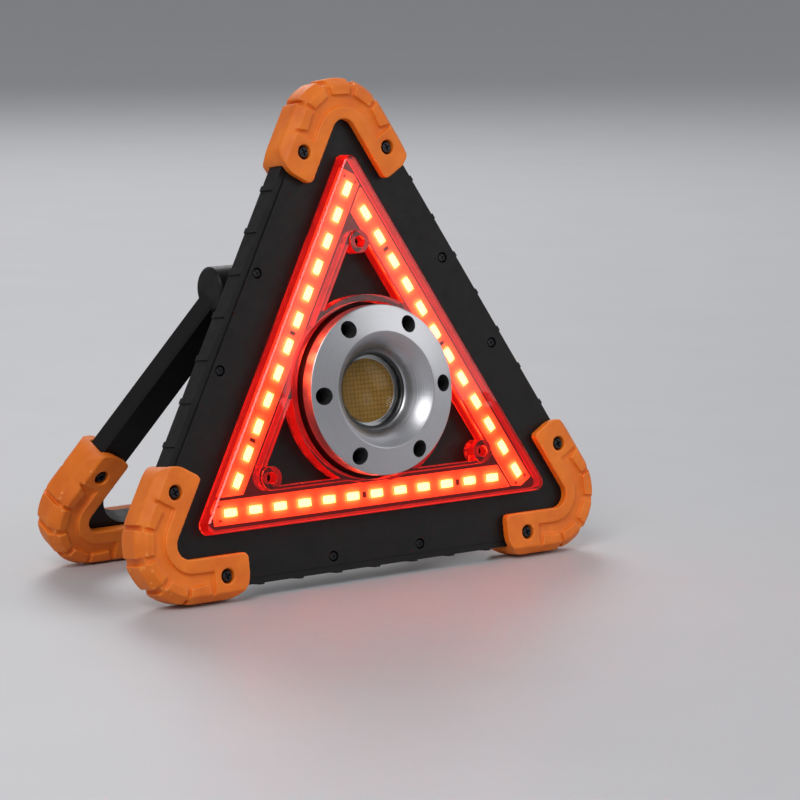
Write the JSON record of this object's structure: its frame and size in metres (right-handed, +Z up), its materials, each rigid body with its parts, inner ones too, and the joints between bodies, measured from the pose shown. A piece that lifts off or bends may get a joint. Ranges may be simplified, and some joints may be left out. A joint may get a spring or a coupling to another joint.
{
  "type": "warning triangle",
  "caption": "Triangular warning light with three lit strips under a red cover, a round work lamp in the centre, rubber corners and a folding stand.",
  "frame": {"origin": "middle of the bounding box on the floor the part stands on", "axes": "+X to the viewer's right along the triangle's base, -Y out of the lit front, +Z up"},
  "size_m": [0.1936, 0.0994, 0.1725],
  "materials": {
    "black_plastic": "fine matte moulded ABS",
    "orange_rubber": "satin moulded soft rubber",
    "black_screw": "black oxide steel",
    "white_board": "white solder mask",
    "light_chip": "clear resin over a white package",
    "component": "moulded electronic parts",
    "red_lens": "clear deep red polycarbonate",
    "aluminium": "turned, satin anodised",
    "dark_ring": "satin",
    "clear_optic": "clear moulded acrylic",
    "phosphor": "silicone with phosphor",
    "cell_wrap": null,
    "steel": "nickel plated",
    "green_board": "green solder mask",
    "button_rubber": "satin",
    "port_rubber": "matte",
    "nylon": "smooth nylon"
  },
  "bodies": {
    "lamp": {"front_housing": "black_plastic", "rear_housing": "black_plastic", "rear_pod": "black_plastic", "pod_screws": "black_screw", "housing_screws": "black_screw", "lens_cover": "red_lens", "lens_screws": "black_screw", "strip_resistors": "component", "lamp_flange": "aluminium", "optic_lens": "clear_optic", "lens_retainer": "dark_ring", "cob_board": "white_board", "cob_phosphor": "phosphor", "heat_sink": "aluminium", "lamp_screws": "black_screw", "battery_cells": "cell_wrap", "battery_contacts": "steel", "battery_cover": "black_plastic", "battery_cover_screws": "black_screw", "control_board": "green_board", "board_screws": "black_screw", "board_components": "component", "tact_switch": "component", "charge_socket": "steel", "hinge_pin_left": "steel", "hinge_pin_right": "steel", "hinge_washer_left": "nylon", "hinge_washer_right": "nylon", "led_strip_bottom": "white_board", "strip_leds_bottom": "light_chip", "led_strip_right": "white_board", "strip_leds_right": "light_chip", "led_strip_left": "white_board", "strip_leds_left": "light_chip", "bumper_top": "orange_rubber", "bumper_left": "orange_rubber", "bumper_right": "orange_rubber", "bumper_screws": "black_screw"},
    "stand": {"stand_frame": "black_plastic", "stand_bumper_left": "orange_rubber", "stand_bumper_right": "orange_rubber", "stand_bumper_screws": "black_screw"},
    "button": {"power_button": "button_rubber"},
    "flap": {"port_flap": "port_rubber"}
  },
  "joints": [
    {"name": "stand_hinge", "type": "hinge", "parent": "lamp", "child": "stand", "pos_m": [0, 0.00299, 0.09972], "axis": [1, 0, 0], "range_deg": [-31.5, 148.5]},
    {"name": "button_press", "type": "slide", "parent": "lamp", "child": "button", "axis": [0, -0.988, 0.1547], "range_m": [0, 0.0005], "stiffness_N_per_m": 800, "springref_m": -0.0005},
    {"name": "flap_hinge", "type": "hinge", "parent": "lamp", "child": "flap", "pos_m": [0, -0.00885, 0.11068], "axis": [1, 0, 0], "range_deg": [0, 100], "stiffness_Nm_per_rad": 0.002, "springref_deg": -17.19}
  ]
}
